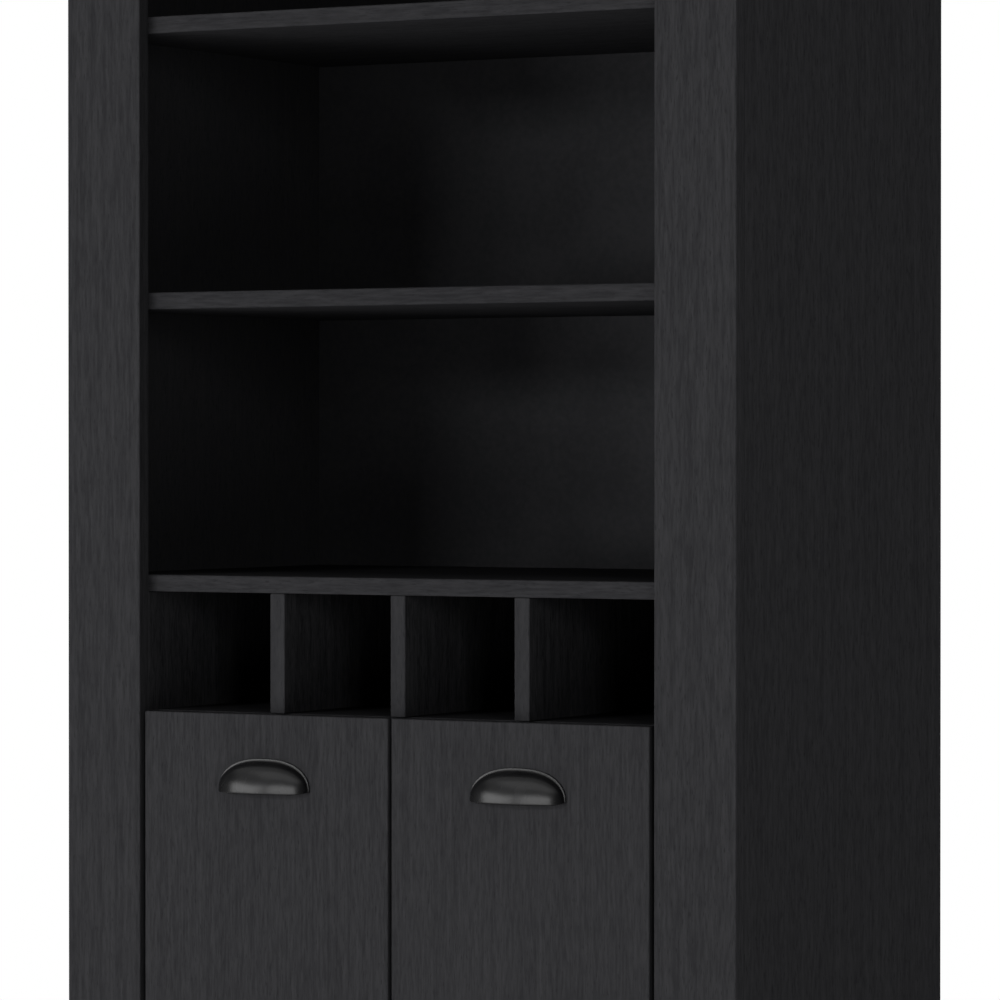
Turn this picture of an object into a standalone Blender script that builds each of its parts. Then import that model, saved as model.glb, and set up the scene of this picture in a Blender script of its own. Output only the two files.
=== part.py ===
# Bar cabinet: open shelves over a bar top, four bottle cubbies and a cupboard with two inset doors.
# Metres, +Z up. The front faces -Y. The origin is on the floor, in the middle of the whole cabinet.
import math

import bmesh
import bpy
from mathutils import Matrix, Vector

# Fits shared by all pieces
FIT = 0.0003  # gap left where two pieces meet face to face
EDGE_ROUND = 0.0006  # eased edge of a melamine board
EDGE_STEPS = 1

# Outside of the cabinet
CAB_WIDTH = 0.680
CAB_DEPTH = 0.425  # front of the stiles to the rear edge of the sides
SIDE_THICKNESS = 0.015
STILE_WIDTH = 0.078
STILE_THICKNESS = 0.015
TOP_THICKNESS = 0.015
TOP_RAIL_HEIGHT = 0.060
KICK_RAIL_HEIGHT = 0.066
BOTTOM_THICKNESS = 0.015
PLINTH_RAIL_THICKNESS = 0.015

# Back panels, held in grooves in the sides
BACK_THICKNESS = 0.003
BACK_SETBACK = 0.006  # rear edge of the sides to the rear face of the back
GROOVE_DEPTH = 0.006

# Open bays, bar top and cubbies, each height being the clear one
SHELF_THICKNESS = 0.015
BAY_LOWER = 0.241
BAY_MIDDLE = 0.235
BAY_UPPER = 0.232
BAY_TOP = 0.232
CUBBY_HEIGHT = 0.1077
CUBBY_FLOOR_THICKNESS = 0.015
DIVIDER_THICKNESS = 0.015
DIVIDER_PITCH = 0.125
INNER_SIDE_THICKNESS = 0.015

# Doors, inset between the stiles
DOOR_HEIGHT = 0.634
DOOR_THICKNESS = 0.015
DOOR_RECESS = 0.001  # door face behind the face of the stiles
DOOR_SIDE_GAP = 0.005
DOOR_CENTRE_GAP = 0.0035
DOOR_BOTTOM_GAP = 0.002
DOOR_TOP_STEP = 0.0003  # cubby floor above the top of the doors
DOOR_SWING_CLEARANCE = 0.001  # cubby floor to the edge of the door that swings past it

# Cup pulls and the screws that hold them from behind the doors
PULL_WIDTH = 0.0965
PULL_HEIGHT = 0.0305
PULL_PROJECTION = 0.022
PULL_DROP = 0.0395  # top of the door to the top of the pull
PULL_SQUARENESS = 2.4  # exponent of the arch; 2 would be an ellipse
PULL_WALL = 0.0018
PULL_FLANGE = 0.0022  # how far the flange stands out from the dome
PULL_FLANGE_THICKNESS = 0.0016
PULL_SCREW_PITCH = 0.064
PULL_SCREW_HEIGHT = 0.010  # above the lip
PULL_BOSS_RADIUS = 0.0038
PULL_SCREW_RADIUS = 0.002
PULL_SCREW_HEAD_RADIUS = 0.004
PULL_SCREW_HEAD_FLAT = 0.0028  # radius of the flat on top of the head
PULL_SCREW_HEAD_HEIGHT = 0.0022
PULL_SCREW_GRIP = 0.005  # screw inside the boss

# Cup hinges: a cup sunk in the door turns on a pin held by a swan-neck arm
HINGE_FROM_END = 0.100  # end of the door to the middle of the hinge
HINGE_CUP_RADIUS = 0.0172
HINGE_CUP_DEPTH = 0.0115  # below the back of the door
HINGE_CUP_LAND = 0.005  # door edge to the rim of the cup's hole
HINGE_CUP_WALL = 0.0008
HINGE_FLANGE_THICKNESS = 0.001
HINGE_FLANGE_RIM = 0.0015
HINGE_WING_LENGTH = 0.052
HINGE_WING_WIDTH = 0.015
HINGE_PIN_FROM_EDGE = 0.0105  # door edge to the pin
HINGE_PIN_BELOW_BACK = 0.007  # back of the door to the pin
HINGE_PIN_RADIUS = 0.0015
HINGE_EYE_RADIUS = 0.0028
HINGE_ARM_THICKNESS = 0.0022
HINGE_ARM_WIDTH = 0.011
HINGE_ARM_REACH = 0.0105  # pin to the bend inside the cup
HINGE_ARM_LOOP = 0.0155  # pin to the outer run of the neck, across the door
HINGE_ARM_CLEARANCE = 0.018  # pin to the run that crosses behind the door
HINGE_ARM_LENGTH = 0.053  # pin to the rear end of the arm
HINGE_ARM_BEND = 0.0025
HINGE_TAIL_WIDTH = 0.015
HINGE_PLATE_THICKNESS = 0.002
HINGE_PLATE_HEIGHT = 0.044
HINGE_PLATE_LENGTH = 0.030
HINGE_BLOCK_HEIGHT = 0.0045
HINGE_BLOCK_WIDTH = 0.010

# Cupboard shelf, its pins and the rows of holes that they can use
CUPBOARD_SHELF_GAP = 0.002
CUPBOARD_SHELF_SETBACK = 0.040  # back of the doors to the front of the shelf
PIN_HOLE_RADIUS = 0.0027
PIN_HOLE_DEPTH = 0.009
PIN_HOLE_ROWS = 3
PIN_HOLE_PITCH = 0.096
PIN_HOLE_INSET = 0.037  # ends of the shelf to the columns of holes
PIN_RADIUS = 0.0024
PIN_LENGTH = 0.008
PIN_COLLAR_RADIUS = 0.004
PIN_COLLAR_THICKNESS = 0.001

# Nail-on glides under the sides, and soft bumpers behind the doors
GLIDE_RADIUS = 0.007
GLIDE_HEIGHT = 0.004
GLIDE_CHAMFER = 0.0013
GLIDE_INSET = 0.035
GLIDE_NAIL_RADIUS = 0.0012
GLIDE_NAIL_LENGTH = 0.012
BUMPER_RADIUS = 0.004
BUMPER_INSET = 0.030  # free edge of the door to the middle of the bumper

# Fineness of the round shapes
ROUND_STEPS = 24
SMALL_ROUND_STEPS = 16
DOME_SEGMENTS = 28
DOME_RINGS = 8
BEND_STEPS = 4
SMOOTH_ANGLE = 35  # degrees; sharper edges stay hard

# Places across the cabinet, measured from its middle
X_OUTSIDE = CAB_WIDTH / 2
X_SIDE = X_OUTSIDE - SIDE_THICKNESS
X_OPENING = X_OUTSIDE - STILE_WIDTH
X_INNER_SIDE = X_OPENING + INNER_SIDE_THICKNESS
DOOR_WIDTH = X_OPENING - DOOR_SIDE_GAP - DOOR_CENTRE_GAP / 2
X_DOOR = X_OPENING - DOOR_SIDE_GAP - DOOR_WIDTH / 2

# Places from front to back. The pulls count in the depth that is centred on the origin.
Y_FRONT = -(CAB_DEPTH - PULL_PROJECTION + DOOR_RECESS) / 2
Y_REAR = Y_FRONT + CAB_DEPTH
Y_CARCASS = Y_FRONT + STILE_THICKNESS + FIT
Y_DOOR = Y_FRONT + DOOR_RECESS
Y_DOOR_BACK = Y_DOOR + DOOR_THICKNESS
Y_BACK_REAR = Y_REAR - BACK_SETBACK
Y_BACK = Y_BACK_REAR - BACK_THICKNESS

# Heights of the upper faces, from the floor up
Z_BASE = GLIDE_HEIGHT + FIT
Z_BOTTOM = Z_BASE + KICK_RAIL_HEIGHT
Z_DOOR = Z_BOTTOM + DOOR_BOTTOM_GAP
Z_DOOR_TOP = Z_DOOR + DOOR_HEIGHT
Z_CUBBY_FLOOR = Z_DOOR_TOP + DOOR_TOP_STEP
Z_BAR_TOP = Z_CUBBY_FLOOR + CUBBY_HEIGHT + SHELF_THICKNESS
Z_SHELF_MIDDLE = Z_BAR_TOP + BAY_LOWER + SHELF_THICKNESS
Z_SHELF_UPPER = Z_SHELF_MIDDLE + BAY_MIDDLE + SHELF_THICKNESS
Z_SHELF_TOP = Z_SHELF_UPPER + BAY_UPPER + SHELF_THICKNESS
Z_TOP_UNDER = Z_SHELF_TOP + BAY_TOP
Z_CUPBOARD_MIDDLE = (Z_BOTTOM + Z_CUBBY_FLOOR - CUBBY_FLOOR_THICKNESS) / 2
Z_PULL_LIP = Z_DOOR_TOP - PULL_DROP - PULL_HEIGHT

# The hinge pin, which is the axis of its door
X_PIN = X_OPENING - DOOR_SIDE_GAP - HINGE_PIN_FROM_EDGE
Y_PIN = Y_DOOR_BACK - HINGE_PIN_BELOW_BACK
DOOR_EDGE_SWING = math.hypot(HINGE_PIN_FROM_EDGE, Y_PIN - Y_DOOR)
Y_CUBBY_FLOOR = Y_PIN + DOOR_EDGE_SWING + DOOR_SWING_CLEARANCE

LEFT, RIGHT = -1, 1
SIDES = {"left": LEFT, "right": RIGHT}
HINGE_HEIGHTS = {"lower": Z_DOOR + HINGE_FROM_END, "upper": Z_DOOR_TOP - HINGE_FROM_END}

# Linear colour, roughness and metallic value of each finish
FINISHES = {
    "woodgrain": ((0.031, 0.031, 0.033), 0.62, 0.0),
    "shelf": ((0.028, 0.028, 0.030), 0.62, 0.0),
    "back": ((0.020, 0.020, 0.022), 0.55, 0.0),
    "pull": ((0.026, 0.026, 0.027), 0.38, 0.6),
    "steel": ((0.55, 0.55, 0.53), 0.30, 1.0),
    "plastic": ((0.020, 0.020, 0.020), 0.50, 0.0),
    "rubber": ((0.60, 0.60, 0.58), 0.40, 0.0),
}


def clear_scene():
    for obj in list(bpy.data.objects):
        bpy.data.objects.remove(obj, do_unlink=True)


def add_empty(name, location):
    empty = bpy.data.objects.new(name, None)
    empty.location = location
    bpy.context.scene.collection.objects.link(empty)
    return empty


def add_object(name, bm, location, parent, finish=None):
    """Puts a bmesh in the scene at a place in the cabinet's frame, closed and facing out."""
    bmesh.ops.recalc_face_normals(bm, faces=bm.faces)
    mesh = bpy.data.meshes.new(name)
    bm.to_mesh(mesh)
    bm.free()
    obj = bpy.data.objects.new(name, mesh)
    obj.location = Vector(location) - (parent.location if parent else Vector())
    obj.parent = parent
    bpy.context.scene.collection.objects.link(obj)
    if finish:
        colour, roughness, metallic = FINISHES[finish]
        material = bpy.data.materials.new(name + "_finish")
        material.use_nodes = True
        shader = material.node_tree.nodes["Principled BSDF"]
        shader.inputs["Base Color"].default_value = (*colour, 1.0)
        shader.inputs["Roughness"].default_value = roughness
        shader.inputs["Metallic"].default_value = metallic
        mesh.materials.append(material)
    return obj


def smooth(obj):
    obj.data.shade_smooth()
    obj.data.set_sharp_from_angle(angle=math.radians(SMOOTH_ANGLE))


def box(name, x, y, z, parent=None, finish=None):
    """A plain box between three pairs of coordinates, with its origin in its middle."""
    low, high = (Vector(corner) for corner in zip(*(sorted(pair) for pair in (x, y, z))))
    bm = bmesh.new()
    bmesh.ops.create_cube(bm, size=1.0, matrix=Matrix.Diagonal((*(high - low), 1.0)))
    return add_object(name, bm, (low + high) / 2, parent, finish)


def board(name, x, y, z, parent, finish="woodgrain"):
    """A box with eased edges."""
    obj = box(name, x, y, z, parent, finish)
    bevel = obj.modifiers.new("eased_edges", "BEVEL")
    bevel.width = EDGE_ROUND
    bevel.segments = EDGE_STEPS
    bevel.limit_method = "NONE"
    return obj


def turned(name, profile, location, direction, parent=None, finish=None, steps=ROUND_STEPS):
    """A turned piece: (radius, height) points from axis to axis, spun round a direction."""
    bm = bmesh.new()
    points = [bm.verts.new((radius, 0.0, height)) for radius, height in profile]
    edges = [bm.edges.new(pair) for pair in zip(points, points[1:])]
    bmesh.ops.spin(
        bm, geom=points + edges, cent=(0, 0, 0), axis=(0, 0, 1), angle=math.tau, steps=steps
    )
    bmesh.ops.remove_doubles(bm, verts=bm.verts, dist=1e-6)
    turn = Vector((0, 0, 1)).rotation_difference(Vector(direction)).to_matrix()
    bmesh.ops.rotate(bm, verts=bm.verts, cent=(0, 0, 0), matrix=turn)
    obj = add_object(name, bm, location, parent, finish)
    smooth(obj)
    return obj


def rod(name, radius, length, location, direction, parent=None, finish=None, steps=ROUND_STEPS):
    """A cylinder that starts at a place and runs along a direction."""
    profile = [(0, 0), (radius, 0), (radius, length), (0, length)]
    return turned(name, profile, location, direction, parent, finish, steps)


def boolean(obj, operation, tool):
    """Adds or cuts a tool, which is itself left out of the model."""
    modifier = obj.modifiers.new(tool.name, "BOOLEAN")
    modifier.operation = operation
    modifier.solver = "EXACT"
    modifier.object = tool
    tool.hide_render = True
    tool.display_type = "WIRE"


def span(side, near, far):
    """The x coordinates of a piece on one side, from its distances to the middle."""
    return side * near, side * far


def make_side_panels(carcass):
    for word, side in SIDES.items():
        name = "side_panel_" + word
        heights = (Z_BASE, Z_TOP_UNDER - FIT)
        panel = board(name, span(side, X_SIDE, X_OUTSIDE), (Y_CARCASS, Y_REAR), heights, carcass)
        groove = box(
            name + "_groove",
            span(side, X_SIDE - GROOVE_DEPTH, X_SIDE + GROOVE_DEPTH),
            (Y_BACK - FIT, Y_BACK_REAR + FIT),
            (Z_BASE - SIDE_THICKNESS, Z_TOP_UNDER + SIDE_THICKNESS),
        )
        boolean(panel, "DIFFERENCE", groove)
        for end, y in glide_places().items():
            hole = rod(
                f"{name}_nail_hole_{end}",
                GLIDE_NAIL_RADIUS + FIT,
                GLIDE_HEIGHT + GLIDE_NAIL_LENGTH + GLIDE_NAIL_RADIUS + FIT,
                (side * (X_SIDE + X_OUTSIDE) / 2, y, 0),
                (0, 0, 1),
                steps=SMALL_ROUND_STEPS,
            )
            boolean(panel, "DIFFERENCE", hole)


def make_stiles(carcass):
    for word, side in SIDES.items():
        depths = (Y_FRONT, Y_FRONT + STILE_THICKNESS)
        heights = (Z_BASE, Z_TOP_UNDER - FIT)
        board("stile_" + word, span(side, X_OPENING, X_OUTSIDE), depths, heights, carcass)


def make_rails(carcass):
    """The rails that close the front between the stiles, and the one under the rear of the bottom."""
    width = (-X_OPENING + FIT, X_OPENING - FIT)
    depths = (Y_FRONT, Y_FRONT + STILE_THICKNESS)
    board("top_rail", width, depths, (Z_TOP_UNDER - TOP_RAIL_HEIGHT, Z_TOP_UNDER - FIT), carcass)
    board("kick_rail", width, depths, (Z_BASE, Z_BOTTOM), carcass)
    board(
        "plinth_rear_rail",
        (-X_SIDE + FIT, X_SIDE - FIT),
        (Y_BACK - FIT - PLINTH_RAIL_THICKNESS, Y_BACK - FIT),
        (Z_BASE, Z_BOTTOM - BOTTOM_THICKNESS - FIT),
        carcass,
    )


def make_ends(carcass):
    heights = (Z_TOP_UNDER, Z_TOP_UNDER + TOP_THICKNESS)
    board("top_panel", (-X_OUTSIDE, X_OUTSIDE), (Y_FRONT, Y_REAR), heights, carcass)
    heights = (Z_BOTTOM - BOTTOM_THICKNESS, Z_BOTTOM)
    depths = (Y_CARCASS, Y_BACK - FIT)
    board("bottom_panel", (-X_SIDE + FIT, X_SIDE - FIT), depths, heights, carcass)


def make_back_panels(carcass):
    """Two panels in the side grooves that meet behind the rear edge of the bar top."""
    reach = X_SIDE + GROOVE_DEPTH - FIT
    joint = Z_BAR_TOP - SHELF_THICKNESS / 2
    spans = {
        "back_panel_lower": (Z_BOTTOM - BOTTOM_THICKNESS, joint - FIT / 2),
        "back_panel_upper": (joint + FIT / 2, Z_TOP_UNDER - FIT),
    }
    for name, heights in spans.items():
        box(name, (-reach, reach), (Y_BACK, Y_BACK_REAR), heights, carcass, "back")


def make_shelves(carcass):
    tops = {
        "bar_top": Z_BAR_TOP,
        "shelf_middle": Z_SHELF_MIDDLE,
        "shelf_upper": Z_SHELF_UPPER,
        "shelf_top": Z_SHELF_TOP,
    }
    for name, top in tops.items():
        width = (-X_SIDE + FIT, X_SIDE - FIT)
        board(name, width, (Y_CARCASS, Y_BACK - FIT), (top - SHELF_THICKNESS, top), carcass, "shelf")


def make_cubbies(carcass):
    """The cubby floor, clear of the doors' swing, and the upright dividers on it."""
    width = (-X_OPENING + FIT, X_OPENING - FIT)
    heights = (Z_CUBBY_FLOOR - CUBBY_FLOOR_THICKNESS, Z_CUBBY_FLOOR)
    board("cubby_floor", width, (Y_CUBBY_FLOOR, Y_BACK - FIT), heights, carcass, "shelf")
    middles = {"left": -DIVIDER_PITCH, "centre": 0.0, "right": DIVIDER_PITCH}
    for word, middle in middles.items():
        width = (middle - DIVIDER_THICKNESS / 2, middle + DIVIDER_THICKNESS / 2)
        heights = (Z_CUBBY_FLOOR + FIT, Z_BAR_TOP - SHELF_THICKNESS - FIT)
        board("cubby_divider_" + word, width, (Y_CARCASS, Y_BACK - FIT), heights, carcass, "shelf")


def cupboard_shelf_depths():
    return Y_DOOR_BACK + CUPBOARD_SHELF_SETBACK, Y_BACK - CUPBOARD_SHELF_GAP


def pin_places():
    front, rear = cupboard_shelf_depths()
    return {"front": front + PIN_HOLE_INSET, "rear": rear - PIN_HOLE_INSET}


def make_inner_sides(carcass):
    """The panels that carry the hinges and the cupboard shelf, flush with the edges of the stiles.

    The shelf's pins sit in the middle row of holes.
    """
    heights = (Z_BOTTOM + FIT, Z_BAR_TOP - SHELF_THICKNESS - FIT)
    for word, side in SIDES.items():
        name = "inner_side_" + word
        panel = board(
            name, span(side, X_OPENING, X_INNER_SIDE), (Y_CARCASS, Y_BACK - FIT), heights, carcass
        )
        for end, y in pin_places().items():
            for row in range(PIN_HOLE_ROWS):
                z = Z_CUPBOARD_MIDDLE + (row - PIN_HOLE_ROWS // 2) * PIN_HOLE_PITCH
                hole = rod(
                    f"{name}_pin_hole_{end}_{row + 1}",
                    PIN_HOLE_RADIUS,
                    2 * PIN_HOLE_DEPTH,
                    (side * (X_OPENING - PIN_HOLE_DEPTH), y, z),
                    (side, 0, 0),
                    steps=SMALL_ROUND_STEPS,
                )
                boolean(panel, "DIFFERENCE", hole)


def make_cupboard_shelf(carcass):
    """The loose shelf and the four pins that it lies on."""
    reach = X_OPENING - CUPBOARD_SHELF_GAP
    under = Z_CUPBOARD_MIDDLE + PIN_RADIUS + FIT
    heights = (under, under + SHELF_THICKNESS)
    board("cupboard_shelf", (-reach, reach), cupboard_shelf_depths(), heights, carcass, "shelf")
    collar = PIN_LENGTH + FIT
    end = collar + PIN_COLLAR_THICKNESS + PIN_LENGTH
    profile = [
        (0, 0),
        (PIN_RADIUS, 0),
        (PIN_RADIUS, collar),
        (PIN_COLLAR_RADIUS, collar),
        (PIN_COLLAR_RADIUS, collar + PIN_COLLAR_THICKNESS),
        (PIN_RADIUS, collar + PIN_COLLAR_THICKNESS),
        (PIN_RADIUS, end),
        (0, end),
    ]
    for word, side in SIDES.items():
        for end, y in pin_places().items():
            start = (side * (X_OPENING + PIN_LENGTH), y, Z_CUPBOARD_MIDDLE)
            turned(
                f"shelf_pin_{word}_{end}", profile, start, (-side, 0, 0), carcass, "steel",
                SMALL_ROUND_STEPS,
            )


def glide_places():
    return {"front": Y_CARCASS + GLIDE_INSET, "rear": Y_REAR - GLIDE_INSET}


def make_glides(carcass):
    """Plastic discs nailed under the side panels, on which the cabinet stands."""
    rim = GLIDE_CHAMFER
    profile = [
        (0, 0),
        (GLIDE_RADIUS - rim, 0),
        (GLIDE_RADIUS, rim),
        (GLIDE_RADIUS, GLIDE_HEIGHT),
        (GLIDE_NAIL_RADIUS, GLIDE_HEIGHT),
        (GLIDE_NAIL_RADIUS, GLIDE_HEIGHT + GLIDE_NAIL_LENGTH),
        (0, GLIDE_HEIGHT + GLIDE_NAIL_LENGTH + GLIDE_NAIL_RADIUS),
    ]
    for word, side in SIDES.items():
        for end, y in glide_places().items():
            place = (side * (X_SIDE + X_OUTSIDE) / 2, y, 0)
            turned(
                f"glide_{word}_{end}", profile, place, (0, 0, 1), carcass, "plastic",
                SMALL_ROUND_STEPS,
            )


def make_bumpers(carcass):
    """Soft pads on the front edge of the cubby floor, which the closed doors lie against."""
    for word, side in SIDES.items():
        x = side * (DOOR_CENTRE_GAP / 2 + BUMPER_INSET)
        place = (x, Y_CUBBY_FLOOR - FIT, Z_CUBBY_FLOOR - CUBBY_FLOOR_THICKNESS / 2)
        length = Y_CUBBY_FLOOR - Y_DOOR_BACK - 2 * FIT
        rod(
            "door_bumper_" + word, BUMPER_RADIUS, length, place, (0, -1, 0), carcass, "rubber",
            SMALL_ROUND_STEPS,
        )


def make_door(word, side, axis):
    free = DOOR_CENTRE_GAP / 2
    door = board(
        "door_" + word, span(side, free, free + DOOR_WIDTH), (Y_DOOR, Y_DOOR_BACK),
        (Z_DOOR, Z_DOOR_TOP), axis,
    )
    for height, z in HINGE_HEIGHTS.items():
        hole = rod(
            f"door_{word}_cup_hole_{height}",
            HINGE_CUP_RADIUS + FIT,
            2 * HINGE_CUP_DEPTH,
            (side * cup_middle(), Y_DOOR_BACK - HINGE_CUP_DEPTH - FIT, z),
            (0, 1, 0),
        )
        boolean(door, "DIFFERENCE", hole)
    for number, x in enumerate(screw_places(side), 1):
        hole = rod(
            f"door_{word}_screw_hole_{number}",
            PULL_SCREW_RADIUS + FIT,
            3 * DOOR_THICKNESS,
            (x, Y_DOOR - DOOR_THICKNESS, Z_PULL_LIP + PULL_SCREW_HEIGHT),
            (0, 1, 0),
            steps=SMALL_ROUND_STEPS,
        )
        boolean(door, "DIFFERENCE", hole)


def screw_places(side):
    return [side * X_DOOR + half * PULL_SCREW_PITCH / 2 for half in (-1, 1)]


def arch_point(t):
    """How far out and up the pull's arch is at angle t, as shares of its half width and height."""
    power = 2 / PULL_SQUARENESS
    return math.copysign(abs(math.cos(t)) ** power, math.cos(t)), math.sin(t) ** power


def dome_points(bm, radii, flat):
    """A quarter dome with its poles at its two ends: rows from end to end, arcs from wall to lip.

    A point lies at (rx out, -depth, rz up cos p), with the arch's shares out and up at angle t along
    the pull, and p round it. Its depth is ry sqrt(1 - r^2), where r is 0 at the middle of the lip
    and 1 at the arch, measured as the arch is.
    """
    wide, deep, high = radii
    power = PULL_SQUARENESS
    rows = []
    for step in range(DOME_SEGMENTS + 1):
        t = math.pi * step / DOME_SEGMENTS
        out, up = arch_point(t)
        if step in (0, DOME_SEGMENTS):
            rows.append([bm.verts.new((wide * out, -flat, 0.0))] * (DOME_RINGS + 1))
            continue
        row = []
        for ring in range(DOME_RINGS + 1):
            p = math.pi / 2 * ring / DOME_RINGS
            r = (math.cos(t) ** 2 + math.sin(t) ** 2 * math.cos(p) ** power) ** (1 / power)
            depth = flat + (deep - flat) * math.sqrt(max(0, 1 - r ** 2))
            row.append(bm.verts.new((wide * out, -depth, high * up * math.cos(p))))
        rows.append(row)
    return rows


def add_faces(bm, first, second):
    """Joins two rows of vertices by quads, or by triangles where the rows share a vertex."""
    for a, b, c, d in zip(first, first[1:], second[1:], second):
        corners = list(dict.fromkeys((a, b, c, d)))
        if len(corners) > 2:
            bm.faces.new(corners)


def dome(name, x, radii, parent, wall=0.0, finish=None):
    """A quarter dome standing on the wall plane, solid, or a shell where a wall is given."""
    bm = bmesh.new()
    outer = dome_points(bm, radii, PULL_FLANGE_THICKNESS / 2)
    for pair in zip(outer, outer[1:]):
        add_faces(bm, *pair)
    ends = [[row[edge] for row in outer] for edge in (0, -1)]
    if wall:
        inner = dome_points(bm, [radius - wall for radius in radii], PULL_FLANGE_THICKNESS / 2)
        for pair in zip(inner, inner[1:]):
            add_faces(bm, *pair)
        for end, edge in zip(ends, (0, -1)):
            add_faces(bm, end, [row[edge] for row in inner])
    else:
        for end in ends:
            bm.faces.new(end)
    return add_object(name, bm, (x, Y_DOOR, Z_PULL_LIP), parent, finish)


def make_pull_flange(name, x):
    """The flat arch round the dome: a half ring between two curves, clear of the lip."""
    bm = bmesh.new()
    lift = math.asin((2 * FIT / PULL_HEIGHT) ** (PULL_SQUARENESS / 2))
    rings = []
    for inset in (0.0, PULL_FLANGE + PULL_WALL / 2):
        wide, high = PULL_WIDTH / 2 - inset, PULL_HEIGHT - inset
        for depth in (FIT, PULL_FLANGE_THICKNESS):
            ring = []
            for step in range(DOME_SEGMENTS + 1):
                out, up = arch_point(lift + (math.pi - 2 * lift) * step / DOME_SEGMENTS)
                ring.append(bm.verts.new((wide * out, -depth, high * up)))
            rings.append(ring)
    outer_rear, outer_front, inner_rear, inner_front = rings
    loop = (outer_rear, outer_front, inner_front, inner_rear, outer_rear)
    for pair in zip(loop, loop[1:]):
        add_faces(bm, *pair)
    for end in (0, -1):
        bm.faces.new([ring[end] for ring in loop[:-1]])
    return add_object(name, bm, (x, Y_DOOR, Z_PULL_LIP), None)


def make_pull(word, side, axis):
    """A cup pull: a hollow quarter dome with a flange along its arch and two screw bosses."""
    x = side * X_DOOR
    name = "cup_pull_" + word
    radii = (PULL_WIDTH / 2 - PULL_FLANGE, PULL_PROJECTION, PULL_HEIGHT - PULL_FLANGE)
    pull = dome(name, x, radii, axis, PULL_WALL, "pull")
    boolean(pull, "UNION", make_pull_flange(name + "_flange", x))
    boss_end = dome(name + "_boss_end", x, [radius - PULL_WALL / 2 for radius in radii], None)
    boss_end.hide_render = True
    z = Z_PULL_LIP + PULL_SCREW_HEIGHT
    for number, screw_x in enumerate(screw_places(side), 1):
        boss = rod(
            f"{name}_boss_{number}", PULL_BOSS_RADIUS, PULL_PROJECTION,
            (screw_x, Y_DOOR - FIT, z), (0, -1, 0),
        )
        boolean(boss, "INTERSECT", boss_end)
        boolean(pull, "UNION", boss)
        bore = rod(
            f"{name}_bore_{number}", PULL_SCREW_RADIUS + FIT, 2 * PULL_SCREW_GRIP + FIT,
            (screw_x, Y_DOOR + PULL_SCREW_GRIP, z), (0, -1, 0), steps=SMALL_ROUND_STEPS,
        )
        boolean(pull, "DIFFERENCE", bore)
    smooth(pull)


def make_pull_screws(word, side, axis):
    """Pan-head screws from the back of the door into the bosses of the pull."""
    length = FIT + DOOR_THICKNESS + PULL_SCREW_GRIP
    head = PULL_SCREW_HEAD_HEIGHT
    profile = [
        (0, -head),
        (PULL_SCREW_HEAD_FLAT, -head),
        (PULL_SCREW_HEAD_RADIUS, -head / 2),
        (PULL_SCREW_HEAD_RADIUS, 0),
        (PULL_SCREW_RADIUS, 0),
        (PULL_SCREW_RADIUS, length),
        (0, length),
    ]
    for number, x in enumerate(screw_places(side), 1):
        place = (x, Y_DOOR_BACK + FIT, Z_PULL_LIP + PULL_SCREW_HEIGHT)
        turned(
            f"pull_screw_{word}_{number}", profile, place, (0, -1, 0), axis, "steel",
            SMALL_ROUND_STEPS,
        )


def cup_middle():
    """Distance from the middle of the cabinet to the middle of a hinge cup."""
    return X_OPENING - DOOR_SIDE_GAP - HINGE_CUP_LAND - HINGE_CUP_RADIUS - FIT


def make_hinge_cup(name, side, z, axis):
    """A cup in the back of the door with a winged flange, open to the cupboard."""
    x = side * cup_middle()
    top = Y_DOOR_BACK + FIT + HINGE_FLANGE_THICKNESS
    bottom = Y_DOOR_BACK - HINGE_CUP_DEPTH
    flange = Y_DOOR_BACK + FIT
    rim = HINGE_CUP_RADIUS + HINGE_FLANGE_RIM
    profile = [
        (0, 0),
        (HINGE_CUP_RADIUS, 0),
        (HINGE_CUP_RADIUS, flange - bottom),
        (rim, flange - bottom),
        (rim, top - bottom),
        (0, top - bottom),
    ]
    cup = turned(name, profile, (x, bottom, z), (0, 1, 0), axis, "steel")
    wings = box(
        name + "_wings",
        (x - HINGE_WING_WIDTH / 2, x + HINGE_WING_WIDTH / 2),
        (flange, top),
        (z - HINGE_WING_LENGTH / 2, z + HINGE_WING_LENGTH / 2),
    )
    boolean(cup, "UNION", wings)
    hollow = rod(
        name + "_hollow", HINGE_CUP_RADIUS - HINGE_CUP_WALL, 2 * HINGE_CUP_DEPTH,
        (x, bottom + HINGE_CUP_WALL, z), (0, 1, 0),
    )
    boolean(cup, "DIFFERENCE", hollow)
    bore = rod(
        name + "_bore", HINGE_PIN_RADIUS + FIT, 4 * HINGE_CUP_RADIUS,
        (side * X_PIN, Y_PIN, z - 2 * HINGE_CUP_RADIUS), (0, 0, 1), steps=SMALL_ROUND_STEPS,
    )
    boolean(cup, "DIFFERENCE", bore)


def make_hinge_pin(name, side, z, axis):
    """The pin across the cup, with its ends in the wall."""
    outer_face = X_PIN - cup_middle() + HINGE_PIN_RADIUS
    reach = math.sqrt(HINGE_CUP_RADIUS**2 - outer_face**2)
    start = (side * X_PIN, Y_PIN, z - reach)
    rod(
        name, HINGE_PIN_RADIUS, 2 * reach, start, (0, 0, 1), axis, "steel", SMALL_ROUND_STEPS
    )


def rounded_path(points, radius):
    """A line through the points with each bend drawn as an arc."""
    path = [points[0]]
    for before, bend, after in zip(points, points[1:], points[2:]):
        into, out = (bend - before).normalized(), (after - bend).normalized()
        angle = into.angle(out)
        trim = radius * math.tan(angle / 2)
        start, end = bend - into * trim, bend + out * trim
        middle = start + (end - start) / 2
        centre = bend + (middle - bend).normalized() * radius / math.cos(angle / 2)
        for step in range(BEND_STEPS + 1):
            ray = (start - centre).lerp(end - centre, step / BEND_STEPS).normalized()
            path.append(centre + ray * radius)
    path.append(points[-1])
    return path


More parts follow.
